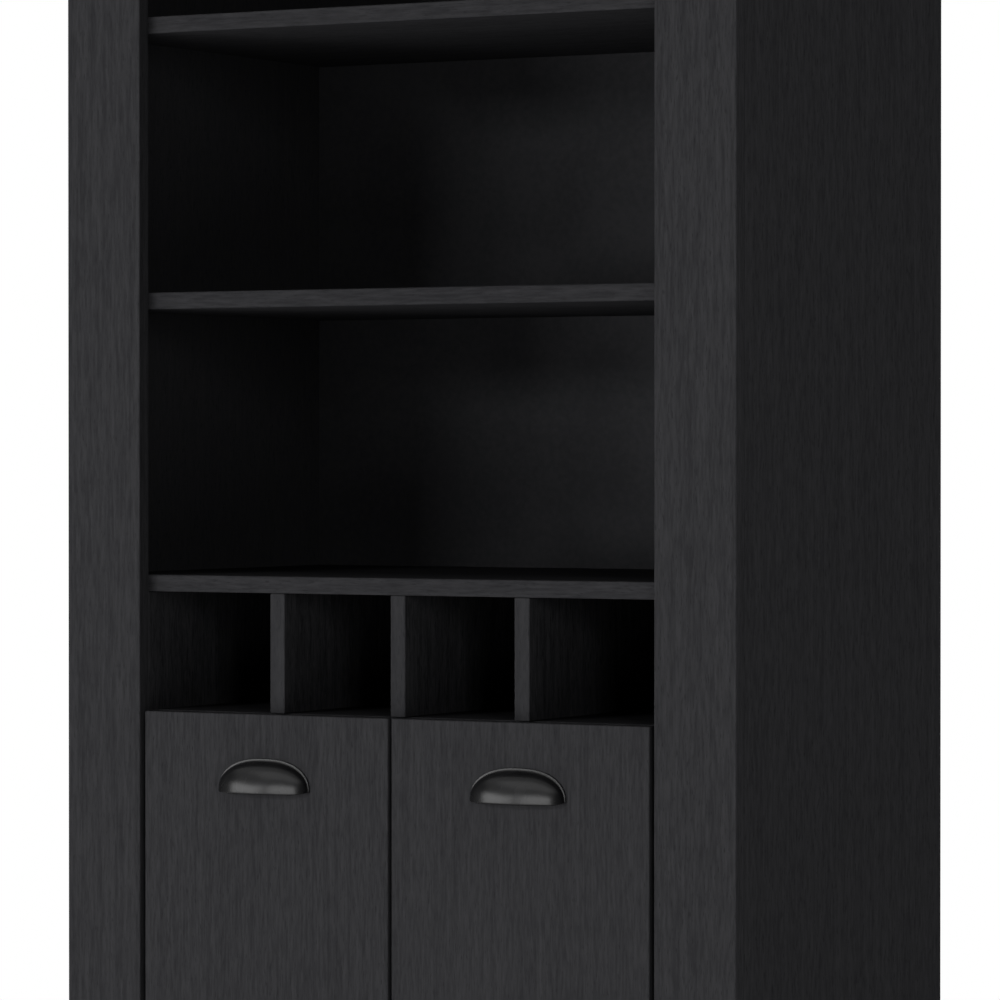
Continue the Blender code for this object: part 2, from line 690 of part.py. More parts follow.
def strip_outline(path, thickness):
    """The closed outline of a strip of even thickness along a path."""
    left, right = [], []
    for index, point in enumerate(path):
        before = path[max(index - 1, 0)]
        after = path[min(index + 1, len(path) - 1)]
        along = (after - before).normalized()
        across = Vector((-along.y, along.x)) * thickness / 2
        left.append(point + across)
        right.append(point - across)
    return left + right[::-1]


def arm_path():
    """The middle of the swan-neck strip, as (towards the door, into the cupboard) from the pin.

    It leaves the pin inside the cup, turns out of it, and passes round the swing of the door's
    edge to the plate on the inner side.
    """
    inner_side = -(HINGE_PIN_FROM_EDGE + DOOR_SIDE_GAP)
    tail = inner_side + FIT + HINGE_PLATE_THICKNESS + HINGE_BLOCK_HEIGHT
    tail += FIT + HINGE_ARM_THICKNESS / 2
    slope = HINGE_ARM_CLEARANCE - HINGE_ARM_REACH / 2
    points = [
        (0.0, 0.0),
        (HINGE_ARM_REACH, 0.0),
        (HINGE_ARM_LOOP, slope),
        (HINGE_ARM_REACH, HINGE_ARM_CLEARANCE),
        (tail + HINGE_ARM_BEND, HINGE_ARM_CLEARANCE),
        (tail, HINGE_ARM_CLEARANCE + 2 * HINGE_ARM_BEND),
        (tail, HINGE_ARM_LENGTH),
    ]
    return rounded_path([Vector(point) for point in points], HINGE_ARM_BEND)


def make_hinge_arm(name, side, z, carcass):
    """The fixed arm: an eye on the pin, a swan neck, and a wider tail over the plate."""
    bm = bmesh.new()
    outline = strip_outline(arm_path(), HINGE_ARM_THICKNESS)
    half = HINGE_ARM_WIDTH / 2
    face = bm.faces.new([bm.verts.new((-side * p.x, p.y, -half)) for p in outline])
    moved = bmesh.ops.extrude_face_region(bm, geom=[face])["geom"]
    raised = [v for v in moved if isinstance(v, bmesh.types.BMVert)]
    bmesh.ops.translate(bm, vec=(0, 0, HINGE_ARM_WIDTH), verts=raised)
    bmesh.ops.triangulate(bm, faces=[f for f in bm.faces if len(f.verts) > 4])
    arm = add_object(name, bm, (side * X_PIN, Y_PIN, z), carcass, "steel")
    start = (side * X_PIN, Y_PIN, z - half)
    eye = rod(name + "_eye", HINGE_EYE_RADIUS, HINGE_ARM_WIDTH, start, (0, 0, 1))
    boolean(arm, "UNION", eye)
    tail = X_OPENING - HINGE_PLATE_THICKNESS - HINGE_BLOCK_HEIGHT - 2 * FIT
    saddle = box(
        name + "_saddle",
        span(side, tail - HINGE_ARM_THICKNESS, tail),
        (Y_PIN + HINGE_ARM_CLEARANCE + 4 * HINGE_ARM_BEND, Y_PIN + HINGE_ARM_LENGTH),
        (z - HINGE_TAIL_WIDTH / 2, z + HINGE_TAIL_WIDTH / 2),
    )
    boolean(arm, "UNION", saddle)
    bore = rod(
        name + "_bore", HINGE_PIN_RADIUS + FIT, 2 * HINGE_ARM_WIDTH,
        (side * X_PIN, Y_PIN, z - HINGE_ARM_WIDTH), (0, 0, 1), steps=SMALL_ROUND_STEPS,
    )
    boolean(arm, "DIFFERENCE", bore)


def make_hinge_plate(name, side, z, carcass):
    """The mounting plate on the inner side, with a raised block under the arm's tail."""
    foot = X_OPENING - FIT
    face = foot - HINGE_PLATE_THICKNESS
    rear = Y_PIN + HINGE_ARM_LENGTH
    depths = (rear - HINGE_PLATE_LENGTH, rear)
    heights = (z - HINGE_PLATE_HEIGHT / 2, z + HINGE_PLATE_HEIGHT / 2)
    plate = box(name, span(side, face, foot), depths, heights, carcass, "steel")
    block = box(
        name + "_block",
        span(side, face - HINGE_BLOCK_HEIGHT, foot - HINGE_PLATE_THICKNESS / 2),
        depths,
        (z - HINGE_BLOCK_WIDTH / 2, z + HINGE_BLOCK_WIDTH / 2),
    )
    boolean(plate, "UNION", block)


def make_hinges(word, side, axis, carcass):
    for height, z in HINGE_HEIGHTS.items():
        end = f"{word}_{height}"
        make_hinge_cup("hinge_cup_" + end, side, z, axis)
        make_hinge_pin("hinge_pin_" + end, side, z, axis)
        make_hinge_arm("hinge_arm_" + end, side, z, carcass)
        make_hinge_plate("hinge_plate_" + end, side, z, carcass)


def main():
    clear_scene()
    carcass = add_empty("carcass", (0, 0, 0))
    make_side_panels(carcass)
    make_stiles(carcass)
    make_rails(carcass)
    make_ends(carcass)
    make_back_panels(carcass)
    make_shelves(carcass)
    make_cubbies(carcass)
    make_inner_sides(carcass)
    make_cupboard_shelf(carcass)
    make_glides(carcass)
    make_bumpers(carcass)
    for word, side in SIDES.items():
        axis = add_empty(f"door_{word}_axis", (side * X_PIN, Y_PIN, Z_DOOR))
        make_door(word, side, axis)
        make_pull(word, side, axis)
        make_pull_screws(word, side, axis)
        make_hinges(word, side, axis, carcass)


main()
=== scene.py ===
# Bar cabinet: finishes, fine fittings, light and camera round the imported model.
# Metres, +Z up, the front faces -Y.
import math

import bmesh
import bpy
import numpy as np
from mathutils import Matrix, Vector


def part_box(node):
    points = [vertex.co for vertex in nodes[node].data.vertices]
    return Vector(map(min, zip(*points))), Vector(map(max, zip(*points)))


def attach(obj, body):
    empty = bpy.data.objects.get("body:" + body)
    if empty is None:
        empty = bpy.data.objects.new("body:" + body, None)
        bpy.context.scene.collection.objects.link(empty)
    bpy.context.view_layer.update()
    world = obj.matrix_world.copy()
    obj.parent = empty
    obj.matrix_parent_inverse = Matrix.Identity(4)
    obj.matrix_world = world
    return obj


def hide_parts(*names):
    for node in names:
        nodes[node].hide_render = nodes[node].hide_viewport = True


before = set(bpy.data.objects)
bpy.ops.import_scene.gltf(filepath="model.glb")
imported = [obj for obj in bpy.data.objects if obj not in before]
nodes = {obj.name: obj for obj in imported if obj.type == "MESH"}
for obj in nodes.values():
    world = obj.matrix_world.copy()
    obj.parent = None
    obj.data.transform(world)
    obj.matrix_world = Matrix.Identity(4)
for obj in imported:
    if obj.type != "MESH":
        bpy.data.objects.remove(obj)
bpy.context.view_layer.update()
mm = 0.001
sides = {"left": -1, "right": 1}
print("frame loaded:", len(nodes), "nodes")


# Camera at the photograph's place, worked out from the straight edges of the cabinet
camera = {
    "place": (2.1216, -3.7998, 0.9410), "farthest": 60,  # m
    "lens": 171.13,  # mm on the usual 36 mm sensor
    "turn": 29.189, "tilt": -0.583,  # degrees to the left and up
}


def addCamera():
    lens = bpy.data.cameras.new("camera")
    lens.lens = camera["lens"]
    lens.clip_end = camera["farthest"]
    view = bpy.data.objects.new("camera", lens)
    view.location = camera["place"]
    view.rotation_euler = (math.radians(90 + camera["tilt"]), 0, math.radians(camera["turn"]))
    bpy.context.scene.collection.objects.link(view)
    bpy.context.scene.camera = view


def linear(hexColour):  # sRGB hex to linear red, green, blue and alpha
    parts = [int(hexColour[i:i + 2], 16) / 255 for i in (1, 3, 5)]
    return [c / 12.92 if c <= 0.04045 else ((c + 0.055) / 1.055) ** 2.4 for c in parts] + [1.0]


def addNode(tree, kind, settings=None, links=None):
    # settings hold attributes and socket values by name or number; links hold what feeds a socket
    node = tree.nodes.new(kind)
    for name, value in (settings or {}).items():
        if isinstance(name, int) or name in node.inputs:
            node.inputs[name].default_value = value
        else:
            setattr(node, name, value)
    for name, socket in (links or {}).items():
        tree.links.new(socket, node.inputs[name])
    return node


def newMaterial(name, shaderSettings):
    material = bpy.data.materials.new(name)
    material.use_nodes = True
    tree = material.node_tree
    tree.nodes.clear()
    shader = addNode(tree, "ShaderNodeBsdfPrincipled", shaderSettings)
    addNode(tree, "ShaderNodeOutputMaterial", links={"Surface": shader.outputs[0]})
    return material, tree, shader


def stretchedNoise(tree, place, cellMm, detail, sway=0):
    # noise whose cells measure cellMm along x, y and z; gives 0 to 1; sway makes the streaks wander
    coords = addNode(tree, "ShaderNodeTexCoord").outputs["Object"]
    scale = [1 / (size * mm) for size in cellMm]
    shifted = [shift * factor for shift, factor in zip(place, scale)]
    mapping = addNode(tree, "ShaderNodeMapping", {"Location": shifted, "Scale": scale}, {"Vector": coords})
    settings = {"Scale": 1.0, "Detail": detail, "Distortion": sway}
    return addNode(tree, "ShaderNodeTexNoise", settings, {"Vector": mapping.outputs[0]}).outputs[0]


def remap(tree, value, fromLow, fromHigh, toLow=0.0, toHigh=1.0):
    sockets = {1: fromLow, 2: fromHigh, 3: toLow, 4: toHigh}
    return addNode(tree, "ShaderNodeMapRange", sockets, {0: value}).outputs[0]


def mathNode(tree, operation, first, second):
    links, values = {}, {}
    for number, item in enumerate((first, second)):
        (values if isinstance(item, (int, float)) else links)[number] = item
    return addNode(tree, "ShaderNodeMath", {"operation": operation, **values}, links).outputs[0]


def mixColour(tree, factor, first, second):
    settings, links = {"data_type": "RGBA"}, {0: factor}
    for number, item in ((6, first), (7, second)):
        (links if isinstance(item, bpy.types.NodeSocket) else settings)[number] = item
    return addNode(tree, "ShaderNodeMix", settings, links).outputs[2]


def colourBy(tree, shader, factor, first, second):
    tree.links.new(mixColour(tree, factor, linear(first), linear(second)), shader.inputs["Base Color"])


def roughenBy(tree, shader, value, span, roughness):
    tree.links.new(remap(tree, value, *span, *roughness), shader.inputs["Roughness"])


def bumpBy(tree, shader, height, depthMm, strength):
    settings = {"Distance": depthMm * mm, "Strength": strength}
    bump = addNode(tree, "ShaderNodeBump", settings, {"Height": height})
    tree.links.new(bump.outputs[0], shader.inputs["Normal"])


# Chipboard under a black foil with a fine pressed grain: matt, with thin streaks along the board,
# slow bands across them and short dark pores. Spans are the noise levels where something starts and is full
foil = {
    "light": "#414143", "dark": "#29292b", "pore": "#222224",
    "streak": (2.3, 21), "band": (6, 220), "poreSize": (0.9, 8),  # across and along the grain, mm
    "streakShare": 0.66, "grainSpan": (0.34, 0.66),  # the rest of the grain is bands
    "poreSpan": (0.60, 0.74), "poreDepth": 0.5,
    "contrast": 0.5,  # share of the range between dark and light that the grain takes
    "uprightTone": 0.5, "levelTone": 0.39,  # middle of that share; the level boards take a darker middle than the upright ones
    "relief": 0.05,  # depth of the pressed grain, mm
    "roughness": (0.62, 0.74), "roughSpan": (0.3, 0.7), "specular": 0.0,
    "step": (0.37, 0.61, 0.83),  # each board is cut this much further on in the foil, m
}
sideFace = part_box("side_panel_right")[1].x
cubbyFront = -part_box("cubby_divider_left")[0].y
# How each kind of board differs: width of the streaks, how much they wander, and the grain's contrast, which
# passes from the first value to the second where the distance from the middle along the axis is in between
plain = {"width": 1, "sway": 0, "contrast": (1.1, 1.1)}
coarse = {  # side panels, fainter inside
    "width": 1.9, "sway": 0, "contrast": (0.45, 0.95),
    "axis": "X", "between": (sideFace - 13 * mm, sideFace - 3 * mm),
}
wavy = {  # cubbies, fainter on the front edges
    "width": 1.4, "sway": 1.2, "contrast": (1.9, 0.8),
    "axis": "Y", "between": (cubbyFront - 0.7 * mm, cubbyFront - 0.1 * mm),
}


def boardFoil(name, alongAxis, number, tone, cut):
    def cells(size):
        across, along = size
        return [along if axis == alongAxis else across * cut["width"] for axis in range(3)]

    material, tree, shader = newMaterial(
        "black_grain_foil_" + name, {"Specular IOR Level": foil["specular"]})
    place = [step * number for step in foil["step"]]
    streaks = stretchedNoise(tree, place, cells(foil["streak"]), 3, cut["sway"])
    bands = stretchedNoise(tree, place, cells(foil["band"]), 2)
    specks = stretchedNoise(tree, place, cells(foil["poreSize"]), 1)
    pores = mathNode(tree, "MULTIPLY", remap(tree, specks, *foil["poreSpan"]), foil["poreDepth"])
    share = foil["streakShare"]
    grain = mathNode(
        tree, "ADD", mathNode(tree, "MULTIPLY", streaks, share), mathNode(tree, "MULTIPLY", bands, 1 - share))
    swing = remap(tree, grain, *foil["grainSpan"], -foil["contrast"] / 2, foil["contrast"] / 2)
    contrast, last = cut["contrast"]
    if contrast != last:
        coords = addNode(tree, "ShaderNodeTexCoord").outputs["Object"]
        size = addNode(tree, "ShaderNodeSeparateXYZ", links={0: coords}).outputs[cut["axis"]]
        contrast = remap(tree, mathNode(tree, "ABSOLUTE", size, 0), *cut["between"], contrast, last)
    shade = mathNode(tree, "ADD", mathNode(tree, "MULTIPLY", swing, contrast), tone)
    ground = mixColour(tree, shade, linear(foil["dark"]), linear(foil["light"]))
    colour = mixColour(tree, pores, ground, linear(foil["pore"]))
    tree.links.new(colour, shader.inputs["Base Color"])
    roughenBy(tree, shader, streaks, foil["roughSpan"], foil["roughness"])
    bumpBy(tree, shader, mathNode(tree, "SUBTRACT", grain, pores), foil["relief"], 1.0)
    return material


# Hardboard with a smooth black face: flat, with only a faint cloudiness
hardboard = {
    "light": "#39393b", "dark": "#333335", "cloudMm": 60, "mottleMm": 6, "toothMm": 0.6,
    "shadeSpan": (0.38, 0.62), "relief": 0.01, "reliefStrength": 0.6, "roughness": 0.7, "specular": 0.0,
}


def backBoard():
    material, tree, shader = newMaterial("black_faced_hardboard", {
        "Roughness": hardboard["roughness"], "Specular IOR Level": hardboard["specular"]})
    clouds, mottle, tooth = (stretchedNoise(tree, (0, 0, 0), [hardboard[size]] * 3, 2)
                             for size in ("cloudMm", "mottleMm", "toothMm"))
    shade = mathNode(tree, "MULTIPLY", mathNode(tree, "ADD", clouds, mottle), 0.5)
    colourBy(tree, shader, remap(tree, shade, *hardboard["shadeSpan"]), hardboard["dark"], hardboard["light"])
    bumpBy(tree, shader, tooth, hardboard["relief"], hardboard["reliefStrength"])
    return material


# Die-cast zinc under satin black lacquer: soft broad highlights and a slight orange peel
lacquer = {
    "colour": "#141415", "rub": "#19191a", "wearMm": 18, "rubSpan": (0.5, 0.8),
    "peelMm": 1.6, "peelDepth": 0.02, "peelStrength": 0.4,
    "roughness": (0.24, 0.29), "roughSpan": (0.3, 0.7), "specular": 0.16,
}


def satinLacquer():
    material, tree, shader = newMaterial("satin_black_lacquer", {"Specular IOR Level": lacquer["specular"]})
    peel = stretchedNoise(tree, (0, 0, 0), [lacquer["peelMm"]] * 3, 2)
    wear = stretchedNoise(tree, (0, 0, 0), [lacquer["wearMm"]] * 3, 3)
    colourBy(tree, shader, remap(tree, wear, *lacquer["rubSpan"]), lacquer["colour"], lacquer["rub"])
    roughenBy(tree, shader, wear, lacquer["roughSpan"], lacquer["roughness"])
    bumpBy(tree, shader, peel, lacquer["peelDepth"], lacquer["peelStrength"])
    return material


# Pressed steel with black nickel plating: a dark, slightly warm mirror, softened by fine drawing marks
nickel = {
    "light": "#5f5c58", "dark": "#4b4946", "stainMm": 9, "stainSpan": (0.35, 0.65),
    "drawMm": (0.3, 0.3, 6), "drawDepth": 0.01, "drawStrength": 0.5,
    "roughness": (0.30, 0.42), "roughSpan": (0.3, 0.7),
}


def nickelPlate():
    material, tree, shader = newMaterial("black_nickel_plated_steel", {"Metallic": 1.0})
    drawn = stretchedNoise(tree, (0, 0, 0), nickel["drawMm"], 2)
    stain = stretchedNoise(tree, (0, 0, 0), [nickel["stainMm"]] * 3, 2)
    colourBy(tree, shader, remap(tree, stain, *nickel["stainSpan"]), nickel["dark"], nickel["light"])
    roughenBy(tree, shader, drawn, nickel["roughSpan"], nickel["roughness"])
    bumpBy(tree, shader, drawn, nickel["drawDepth"], nickel["drawStrength"])
    return material


# Moulded black polypropylene, faintly sparked: an even, dull black
plastic = {
    "dark": "#1c1c1d", "light": "#262627", "sparkMm": 0.5, "sparkSpan": (0.4, 0.6),
    "sparkDepth": 0.02, "sparkStrength": 0.5, "roughness": 0.5,
}


def mouldedPlastic():
    material, tree, shader = newMaterial("moulded_polypropylene", {"Roughness": plastic["roughness"]})
    spark = stretchedNoise(tree, (0, 0, 0), [plastic["sparkMm"]] * 3, 2)
    colourBy(tree, shader, remap(tree, spark, *plastic["sparkSpan"]), plastic["dark"], plastic["light"])
    bumpBy(tree, shader, spark, plastic["sparkDepth"], plastic["sparkStrength"])
    return material


# Clear soft polyurethane gone milky: a waxy pale pad
urethane = {
    "dark": "#c9c9c2", "light": "#dcdcd6", "hazeMm": 2.5, "hazeSpan": (0.35, 0.65), "roughness": 0.35,
    "milkiness": 0.3, "lightDepth": (2, 2, 2),  # how far red, green and blue light goes in, mm
}


def softUrethane():
    material, tree, shader = newMaterial("clear_polyurethane", {
        "Roughness": urethane["roughness"], "Subsurface Weight": urethane["milkiness"],
        "Subsurface Radius": [depth * mm for depth in urethane["lightDepth"]]})
    haze = stretchedNoise(tree, (0, 0, 0), [urethane["hazeMm"]] * 3, 2)
    colourBy(tree, shader, remap(tree, haze, *urethane["hazeSpan"]), urethane["dark"], urethane["light"])
    return material


uprightBoards = ["side_panel_left", "side_panel_right", "stile_left", "stile_right", "inner_side_left",
                 "inner_side_right", "door_left", "door_right", "cubby_divider_left",
                 "cubby_divider_centre", "cubby_divider_right"]
levelBoards = ["top_rail", "kick_rail", "plinth_rear_rail", "top_panel", "bottom_panel", "bar_top",
               "shelf_middle", "shelf_upper", "shelf_top", "cubby_floor", "cupboard_shelf"]


def finishNode(name, material):
    slots = nodes[name].data.materials
    slots.clear()
    slots.append(material)


def finishFrame():
    # each set holds the axis that the grain follows, the number of its first board, the boards and their tone
    cuts = {"side_panel": coarse, "cubby_divider": wavy, "inner_side": wavy}
    sets = ((2, 41, uprightBoards, foil["uprightTone"]), (0, 1, levelBoards, foil["levelTone"]))
    for axis, firstNumber, boards, tone in sets:
        for number, name in enumerate(boards, firstNumber):
            cut = cuts.get(name.rsplit("_", 1)[0], plain)
            finishNode(name, boardFoil(name, axis, number, tone, cut))
    plate = nickelPlate()
    fittings = {
        "back_panel": backBoard(), "hinge_": plate, "shelf_pin": plate, "pull_screw": plate,
        "glide": mouldedPlastic(), "door_bumper": softUrethane(),
    }
    for start, material in fittings.items():
        for name in nodes:
            if name.startswith(start):
                finishNode(name, material)
    return plate


def ringMesh(name, points):
    # points has shape (rows, columns, 3); each row closes to a ring and neighbours become faces
    rows, columns = points.shape[:2]
    index = np.arange(rows * columns).reshape(rows, columns)
    beside = np.roll(index, -1, 1)
    quads = np.stack([index[:-1], beside[:-1], beside[1:], index[1:]], -1).reshape(-1, 4)
    mesh = bpy.data.meshes.new(name)
    mesh.from_pydata(points.reshape(-1, 3).tolist(), [], quads.tolist())
    return mesh


def closeMesh(mesh, mergeAt=1e-6):
    # merges poles and seams, fills open ends and turns every face outwards
    bm = bmesh.new()
    bm.from_mesh(mesh)
    bmesh.ops.remove_doubles(bm, verts=bm.verts, dist=mergeAt)
    rims = [edge for edge in bm.edges if edge.is_boundary]
    bmesh.ops.holes_fill(bm, edges=rims, sides=0)
    bmesh.ops.dissolve_degenerate(bm, edges=bm.edges, dist=mergeAt)
    bmesh.ops.recalc_face_normals(bm, faces=bm.faces)
    bm.to_mesh(mesh)
    bm.free()
    mesh.shade_smooth()


def addPiece(name, mesh, material, body):
    mesh.materials.append(material)
    piece = bpy.data.objects.new(name, mesh)
    bpy.context.scene.collection.objects.link(piece)
    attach(piece, body)
    return piece


# Top panel: a board with eased edges, pressed down on the sides and stiles so that no light shows between
topPanel = {
    "edgeRound": 0.8, "cornerRound": 1.5,  # mm
    "ring": 0.4,  # width of the rings beside the rounded edges, which keep the faces flat, mm
    "press": 0.35,  # how far the board reaches below its node, mm
    "steps": 6,
}


def addTopPanel():
    # A rounded rectangle whose inset is r (1 - cos p) where its distance from the face is r (1 - sin p),
    # for p from 0 to 90 degrees along the lower and the upper edge
    low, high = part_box("top_panel")
    edge, corner, ring = (topPanel[k] * mm for k in ("edgeRound", "cornerRound", "ring"))
    turn = np.linspace(0, math.pi / 2, topPanel["steps"] + 1)
    away = np.concatenate([[edge + ring], edge * (1 - np.sin(turn)), [0]])
    inset = np.concatenate([[0], edge * (1 - np.cos(turn)), [edge + ring]])
    z = np.concatenate([low.z - topPanel["press"] * mm + away[::-1], high.z - away])[:, None]
    radius = corner - np.concatenate([inset[::-1], inset])[:, None]
    angle = np.concatenate([[0], turn, [math.pi / 2]])
    slide = np.concatenate([[-ring], 0 * turn, [ring]])
    xs, ys = [], []
    for quarter, (x, y) in enumerate((
            (high.x - corner, high.y - corner), (low.x + corner, high.y - corner),
            (low.x + corner, low.y + corner), (high.x - corner, low.y + corner))):
        theta = angle + quarter * math.pi / 2
        xs.append(x + radius * np.cos(theta) - slide * np.sin(theta))
        ys.append(y + radius * np.sin(theta) + slide * np.cos(theta))
    x, y = np.concatenate(xs, 1), np.concatenate(ys, 1)
    mesh = ringMesh("top_panel_eased", np.stack([x, y, z + 0 * x], -1))
    closeMesh(mesh)
    foilMaterial = nodes["top_panel"].data.materials[0]
    piece = addPiece("top_panel_eased", mesh, foilMaterial, "carcass")
    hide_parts("top_panel")


# Cup pull: a hollow quarter dome with a flange round its squarish arch and a rounded lip
pull = {
    "cadFlange": 2.2, "flange": 2.5, "flangeThickness": 1.6, "flangeRound": 0.6, "fillet": 0.6,  # mm
    "wall": 1.8, "rearGap": 0.3,
    "footFlange": 0.45,  # width of the flange at the feet, as a share of its width at the top
    "squareness": 2.4,  # exponent of the arch; 2 would be an ellipse
    "footRise": 2.0,  # how far the two feet end above the lip
    "footPower": 14,  # a high power keeps the rise close to the feet
    "bossRadius": 3.8, "bossPitch": 64, "bossHeight": 10,
    "archSteps": 180, "domeSteps": 44, "roundSteps": 8, "hollowSteps": 7, "lipSteps": 9,
    "bossSides": 40, "bossSteps": 9,
}


def pullProfile(deep, high):
    # The closed section as columns (a, c, d, p, g): at arch angle t a point lies (wide + a) out and
    # at height g up, by the arch's shares out and up; its depth is c + d sqrt(1 - r^2), where
    # r^k = cos^2 t + sin^2 t cos^k p and k is the squareness
    flange, thick, edge, fillet, wall, rear = (pull[k] * mm for k in (
        "flange", "flangeThickness", "flangeRound", "fillet", "wall", "rearGap"))
    reach, lip = deep - thick, wall / 2
    section = [(flange, rear, 0, 0, high + flange)]
    for p in np.linspace(0, math.pi / 2, pull["roundSteps"]):  # the flange's round edge
        out = flange - edge + edge * math.cos(p)
        section.append((out, thick - edge + edge * math.sin(p), 0, 0, high + out))
    start = math.asin(fillet / reach)
    for k in np.linspace(0, 1, pull["hollowSteps"]):  # the hollow between flange and dome, a quadratic curve
        side = fillet * (1 - k) ** 2
        section.append((side, thick, reach, start * k, high * math.cos(start * k ** 2) + side))
    for p in np.linspace(start, math.pi / 2, pull["domeSteps"])[1:]:
        section.append((0, thick, reach, p, high * math.cos(p) + lip * math.sin(p)))
    for p in np.linspace(0, math.pi, pull["lipSteps"])[1:-1]:  # the lip, a half round
        fall = lip * (math.cos(p) - 1)
        section.append((fall, thick, reach + fall, math.pi / 2, lip * (1 - math.sin(p))))
    for p in np.linspace(math.pi / 2, 0, pull["domeSteps"]):
        section.append((-wall, thick, reach - wall, p, (high - wall) * math.cos(p) + lip * math.sin(p)))
    section.append((-wall, rear, 0, 0, high - wall))
    return np.array(section).T


def archShares(t):  # how far out and up the arch is at angle t, as shares of its half width and height
    power = 2 / pull["squareness"]
    return np.sign(np.cos(t)) * np.abs(np.cos(t)) ** power, np.maximum(np.sin(t), 0) ** power


def addPull(word, material):
    low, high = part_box("cup_pull_" + word)
    middle, rear = (low.x + high.x) / 2, high.y + pull["rearGap"] * mm
    wide = (high.x - low.x) / 2 - pull["cadFlange"] * mm
    deep = rear - low.y
    tall = high.z - low.z - pull["cadFlange"] * mm
    power = pull["squareness"]
    a, c, d, p, g = pullProfile(deep, tall)
    t = np.linspace(0, math.pi, pull["archSteps"] + 1)[:, None]
    out, up = archShares(t)
    near = np.cos(t) ** 2 + np.sin(t) ** 2 * np.maximum(np.cos(p), 0) ** power
    depth = c + d * np.sqrt(np.maximum(0, 1 - near ** (2 / power)))
    # towards the feet the flange narrows to footFlange and the rim curves up by footRise |cos t|^footPower
    share = pull["footFlange"]
    side = np.where(a > 0, a * (share + (1 - share) * np.sin(t) ** 2), a)
    rise = pull["footRise"] * mm * np.abs(np.cos(t)) ** pull["footPower"]
    points = np.stack([middle + (wide + side) * out, rear - depth, low.z + g * up + rise], -1)
    mesh = ringMesh("cup_pull_" + word, points)
    closeMesh(mesh)
    piece = addPiece("cup_pull_shell_" + word, mesh, material, word + "_door")
    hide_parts("cup_pull_" + word)
    # screw posts inside: tubes that end in the middle of the dome's wall
    half, thick = pull["wall"] * mm / 2, pull["flangeThickness"] * mm
    turn = np.linspace(0, math.tau, pull["bossSides"] + 1)[None, :-1]
    along = np.linspace(0, 1, pull["bossSteps"])[:, None]
    for number, way in enumerate((-1, 1), 1):
        x = way * pull["bossPitch"] * mm / 2 + pull["bossRadius"] * mm * np.cos(turn)
        z = pull["bossHeight"] * mm + pull["bossRadius"] * mm * np.sin(turn)
        near = np.abs(x / (wide - half)) ** power + np.abs(z / (tall - half)) ** power
        end = thick + (deep - thick - half) * np.sqrt(1 - near ** (2 / power))
        depth = pull["rearGap"] * mm + along * (end - pull["rearGap"] * mm)
        post = np.stack([middle + x + 0 * along, rear - depth, low.z + z + 0 * along], -1)
        mesh = ringMesh(f"pull_post_{word}_{number}", post)
        closeMesh(mesh)
        addPiece(f"pull_post_{word}_{number}", mesh, material, word + "_door")


# Cross-head screws of the hinges: a low dome with rounded edge and a cross sunk into it
screw = {
    "radius": 3.4, "crown": 0.7, "edge": 0.9, "edgePower": 8, "sunk": 0.1,  # mm; a high power is a sharp edge
    "cross": 0.62, "slot": 0.28,  # length and half width of the cross's arms, as shares of the radius
    "depth": 1.1,  # of the cross, mm
    "wallSlope": 3, "endSlope": 8,  # how steep its walls and ends are
    "rings": 30, "turns": 96,
}
hinge = {  # mm
    "cupScrews": 21.8, "plateScrews": 16,  # how far above and below the middle they sit
    "saddleScrews": ((-0.6, 3.0), (11.4, 2.5)),  # place behind the plate's middle, and radius
    "plate": 2, "saddle": 2.5,  # thickness of the plate, and of the arm with the gap under it
}


def screwHeads(places, outward):
    # places holds (centre, radius); outward is the axis and way the heads face, such as (0, -1)
    axis, way = outward
    others = [k for k in range(3) if k != axis]
    share = np.linspace(0, 1, screw["rings"])[:, None]
    turn = np.linspace(0, math.tau, screw["turns"] + 1)[None, :-1]
    meshes = []
    for centre, radius in places:
        u, v = radius * share * np.cos(turn), radius * share * np.sin(turn)
        dome = (screw["edge"] + screw["crown"] * (1 - share ** 2)) * np.sqrt(1 - share ** screw["edgePower"])
        arm = np.minimum(np.abs(u), np.abs(v)) / (screw["slot"] * radius)
        walls = np.clip((1 - arm) * screw["wallSlope"], 0, 1)
        ends = np.clip((screw["cross"] - share) * screw["endSlope"], 0, 1)
        top = np.zeros(u.shape + (3,))
        top[..., others[0]], top[..., others[1]] = u, v
        top[..., axis] = way * (dome - screw["depth"] * walls * ends)
        foot = top[-1:].copy()
        foot[..., axis] = -way * screw["sunk"]
        points = np.array(centre) + np.concatenate([top, foot]) * mm
        mesh = ringMesh("screw_head", points)
        closeMesh(mesh, mergeAt=1e-7)
        meshes.append(mesh)
    return meshes


def joined(name, meshes):
    bm = bmesh.new()
    for mesh in meshes:
        bm.from_mesh(mesh)
        bpy.data.meshes.remove(mesh)
    whole = bpy.data.meshes.new(name)
    bm.to_mesh(whole)
    bm.free()
    whole.shade_smooth()
    return whole


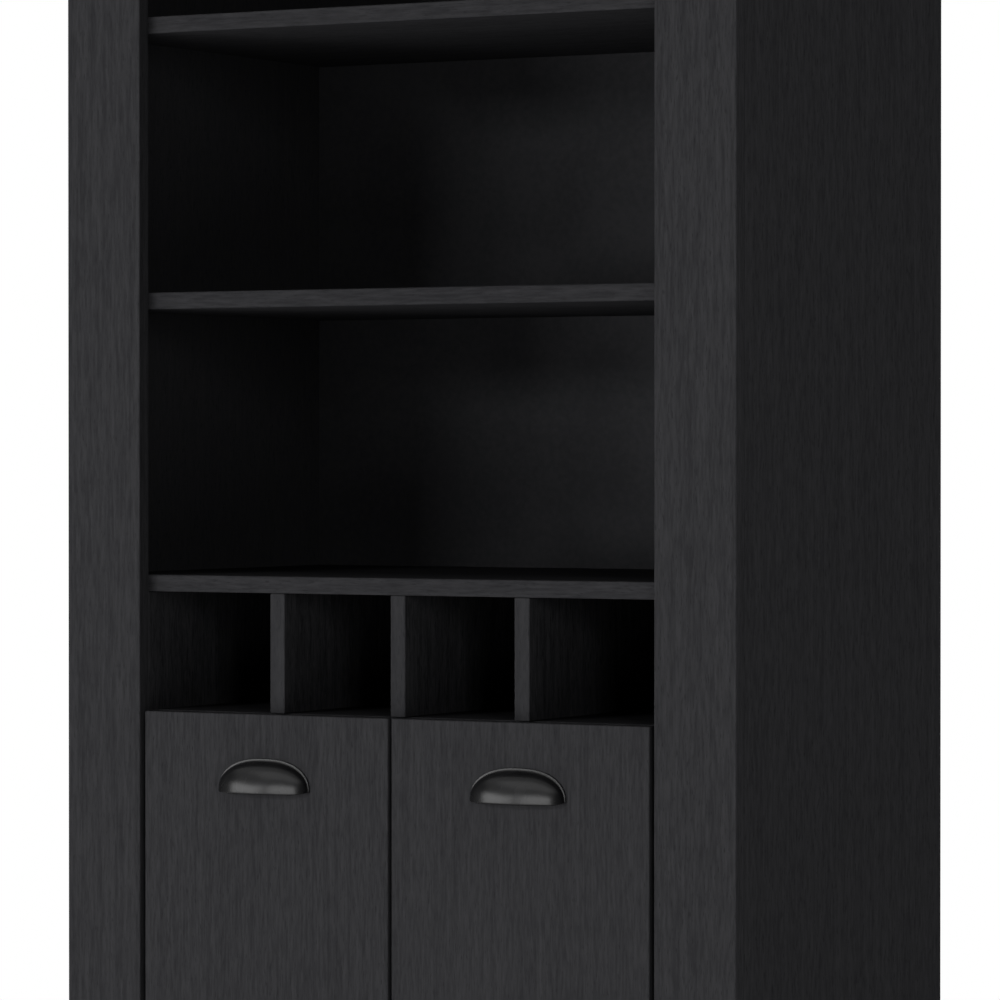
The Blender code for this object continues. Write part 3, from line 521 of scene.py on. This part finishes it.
def addHingeScrews(material):
    radius = screw["radius"]
    for word, side in sides.items():
        for level in ("lower", "upper"):
            name = f"{word}_{level}"
            low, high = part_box("hinge_cup_" + name)
            middle, height = (low.x + high.x) / 2, (low.z + high.z) / 2
            places = [((middle, high.y, height + way * hinge["cupScrews"] * mm), radius) for way in (-1, 1)]
            mesh = joined("cup_screws_" + name, screwHeads(places, (1, 1)))
            addPiece("cup_screws_" + name, mesh, material, word + "_door")
            plateLow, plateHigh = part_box("hinge_plate_" + name)
            blockTop, plateFoot = sorted((abs(plateLow.x), abs(plateHigh.x)))
            flat = side * (plateFoot - hinge["plate"] * mm)
            saddle = side * (blockTop - hinge["saddle"] * mm)
            deep = (plateLow.y + plateHigh.y) / 2
            places = [((flat, deep, height + way * hinge["plateScrews"] * mm), radius) for way in (-1, 1)]
            places += [((saddle, deep + back * mm, height), size) for back, size in hinge["saddleScrews"]]
            mesh = joined("plate_screws_" + name, screwHeads(places, (0, -side)))
            addPiece("plate_screws_" + name, mesh, material, "carcass")


# Studio: a surround that is white for the camera, has dark flags at its sides for reflections and is dim for
# the light it gives; a pale sweep on the floor; lamps for the matt boards, and cards that only the lacquer
# and the steel mirror
studio = {
    "front": 0.0, "rear": 0.48, "overhead": 0.50,  # light from the surround
    "turnSpan": (-0.35, 0.35), "overheadSpan": (0.6, 0.95),  # y and z of the directions where these change
    "flagSpan": (0.72, 0.86), "flagLevel": 0.15,  # where the flags start and are full, as a share to the side
    "floorColour": "#dedddb", "bounceColour": "#8f8f8e",  # as it is seen, and for the light it throws back
    "floorGlow": (0.60, 0.16),  # glow in front and behind, as the cabinet gets it
    "seenGlow": (0.22, 0.40),  # the same, as the eye sees it
    "glowSpan": (-0.8, 0.4), "glowSlant": 0.7,  # from front to back, m, and how much sooner towards the sides
    "floorRadius": 3.1, "fadeSpan": (1.6, 3.0),  # m
    "floorRoughness": 0.8, "floorSpecular": 0.1, "floorRings": 24, "floorSides": 128,
}
uprightLamps = {  # degrees from the front, distance, width, foot, head, radiance, what it lights
    "left_softbox": (-30.5, 8.0, 2.1, 0.06, 1.00, 25.2, "matt"),
    "high_softbox": (-15.5, 8.0, 2.1, 1.90, 2.80, 22.0, "matt"),
    "strip_softbox": (42.7, 5.0, 1.0, 1.00, 2.30, 5.8, "matt"),
    "rear_softbox": (-160, 7.0, 3.0, 0.06, 2.60, 3.0, "all"),
    "left_card": (-41, 8.0, 5.4, -0.30, 2.75, 8.0, "gloss"),
    "right_card": (12, 8.0, 8.2, -0.30, 2.75, 7.8, "gloss"),
}
levelLamps = {  # x, y, height, width, depth, radiance, way it faces, what it lights
    "overhead_card": (0.5, -2.6, 3.2, 5.0, 2.6, 1.7, -1, "gloss"),
    "left_floor_softbox": (-1.6, -1.6, 0.02, 1.2, 1.9, 1.4, 1, "matt"),
    "front_floor_softbox": (0.0, -3.8, 0.02, 4.4, 2.8, 1.4, 1, "matt"),
}


def seenDirectly(tree):  # 1 for the camera, mirrors and clear pieces, 0 for the light on matt surfaces
    path = addNode(tree, "ShaderNodeLightPath").outputs
    seen = mathNode(tree, "MAXIMUM", path["Is Camera Ray"], path["Is Glossy Ray"])
    return mathNode(tree, "MAXIMUM", seen, path["Is Transmission Ray"])


def smoothStep(tree, value, fromLow, fromHigh, toLow=0.0, toHigh=1.0):
    sockets = {"interpolation_type": "SMOOTHSTEP", 1: fromLow, 2: fromHigh, 3: toLow, 4: toHigh}
    return addNode(tree, "ShaderNodeMapRange", sockets, {0: value}).outputs[0]


def addSurround():
    world = bpy.data.worlds.new("studio_surround")
    world.use_nodes = True
    tree = world.node_tree
    tree.nodes.clear()
    direction = addNode(tree, "ShaderNodeTexCoord").outputs["Generated"]
    split = addNode(tree, "ShaderNodeSeparateXYZ", links={0: direction}).outputs
    level = smoothStep(tree, split["Y"], *studio["turnSpan"], studio["front"], studio["rear"])
    above = smoothStep(tree, split["Z"], *studio["overheadSpan"], 0.0, studio["overhead"])
    light = mathNode(tree, "ADD", level, above)
    aside = smoothStep(
        tree, mathNode(tree, "ABSOLUTE", split["X"], 0), *studio["flagSpan"], 1.0, studio["flagLevel"])
    glossy = addNode(tree, "ShaderNodeLightPath").outputs["Is Glossy Ray"]
    seen = addNode(tree, "ShaderNodeMix", {2: 1.0}, {0: glossy, 3: aside}).outputs[0]
    strength = addNode(tree, "ShaderNodeMix", links={0: seenDirectly(tree), 2: light, 3: seen}).outputs[0]
    glow = addNode(tree, "ShaderNodeBackground", {"Color": (1, 1, 1, 1)}, {"Strength": strength})
    addNode(tree, "ShaderNodeOutputWorld", links={"Surface": glow.outputs[0]})
    bpy.context.scene.world = world


def addFloor():
    turn = np.linspace(0, math.tau, studio["floorSides"] + 1)[None, :-1]
    radius = np.linspace(0, studio["floorRadius"], studio["floorRings"])[:, None]
    points = np.stack([radius * np.cos(turn), radius * np.sin(turn), 0 * radius * turn], -1)
    mesh = ringMesh("floor", points)
    material, tree, shader = newMaterial("pale_matt_floor", {
        "Roughness": studio["floorRoughness"], "Specular IOR Level": studio["floorSpecular"]})
    seen = seenDirectly(tree)
    colourBy(tree, shader, seen, studio["bounceColour"], studio["floorColour"])
    coords = addNode(tree, "ShaderNodeTexCoord").outputs["Object"]
    place = addNode(tree, "ShaderNodeSeparateXYZ", links={0: coords}).outputs
    aside = mathNode(tree, "MULTIPLY", mathNode(tree, "ABSOLUTE", place["X"], 0), studio["glowSlant"])
    back = mathNode(tree, "ADD", place["Y"], aside)
    glow, seenGlow = (
        smoothStep(tree, back, *studio["glowSpan"], *studio[key]) for key in ("floorGlow", "seenGlow"))
    strength = addNode(tree, "ShaderNodeMix", links={0: seen, 2: glow, 3: seenGlow}).outputs[0]
    lift = addNode(tree, "ShaderNodeEmission", links={"Strength": strength})
    lit = addNode(tree, "ShaderNodeAddShader", links={0: shader.outputs[0], 1: lift.outputs[0]})
    # towards its rim the disc turns into the white of the surround
    distance = addNode(tree, "ShaderNodeVectorMath", {"operation": "LENGTH"}, {0: coords}).outputs["Value"]
    fade = smoothStep(tree, distance, *studio["fadeSpan"])
    white = addNode(tree, "ShaderNodeEmission", {"Strength": 1.0})
    mixed = addNode(tree, "ShaderNodeMixShader", links={
        0: mathNode(tree, "MULTIPLY", fade, seen), 1: lit.outputs[0], 2: white.outputs[0]})
    output = next(node for node in tree.nodes if node.type == "OUTPUT_MATERIAL")
    tree.links.new(mixed.outputs[0], output.inputs["Surface"])
    mesh.materials.append(material)
    floor = bpy.data.objects.new("floor", mesh)
    bpy.context.scene.collection.objects.link(floor)


def addLamp(name, place, turn, size, radiance, lights):
    lamp = bpy.data.lights.new(name, "AREA")
    lamp.shape = "RECTANGLE"
    lamp.size, lamp.size_y = size
    lamp.energy = radiance * math.pi * size[0] * size[1]
    box = bpy.data.objects.new(name, lamp)
    box.location, box.rotation_euler = place, turn
    box.visible_camera = False
    box.visible_glossy = lights != "matt"
    box.visible_diffuse = lights != "gloss"
    bpy.context.scene.collection.objects.link(box)


def addLamps():
    for name, (azimuth, distance, wide, foot, head, radiance, lights) in uprightLamps.items():
        angle = math.radians(azimuth)
        place = (distance * math.sin(angle), -distance * math.cos(angle), (foot + head) / 2)
        addLamp(name, place, (math.radians(90), 0, angle), (wide, head - foot), radiance, lights)
    for name, (x, y, z, wide, deep, radiance, way, lights) in levelLamps.items():
        addLamp(name, (x, y, z), (0 if way < 0 else math.pi, 0, 0), (wide, deep), radiance, lights)


bpy.context.scene.view_settings.view_transform = "Standard"
addCamera()
addSurround()
addFloor()
addLamps()
print("camera and studio placed")
plateMaterial = finishFrame()
addTopPanel()
print("boards and fittings finished")
lacquerMaterial = satinLacquer()
for word in sides:
    addPull(word, lacquerMaterial)
print("pulls made")
addHingeScrews(plateMaterial)
print("hinge screws made")
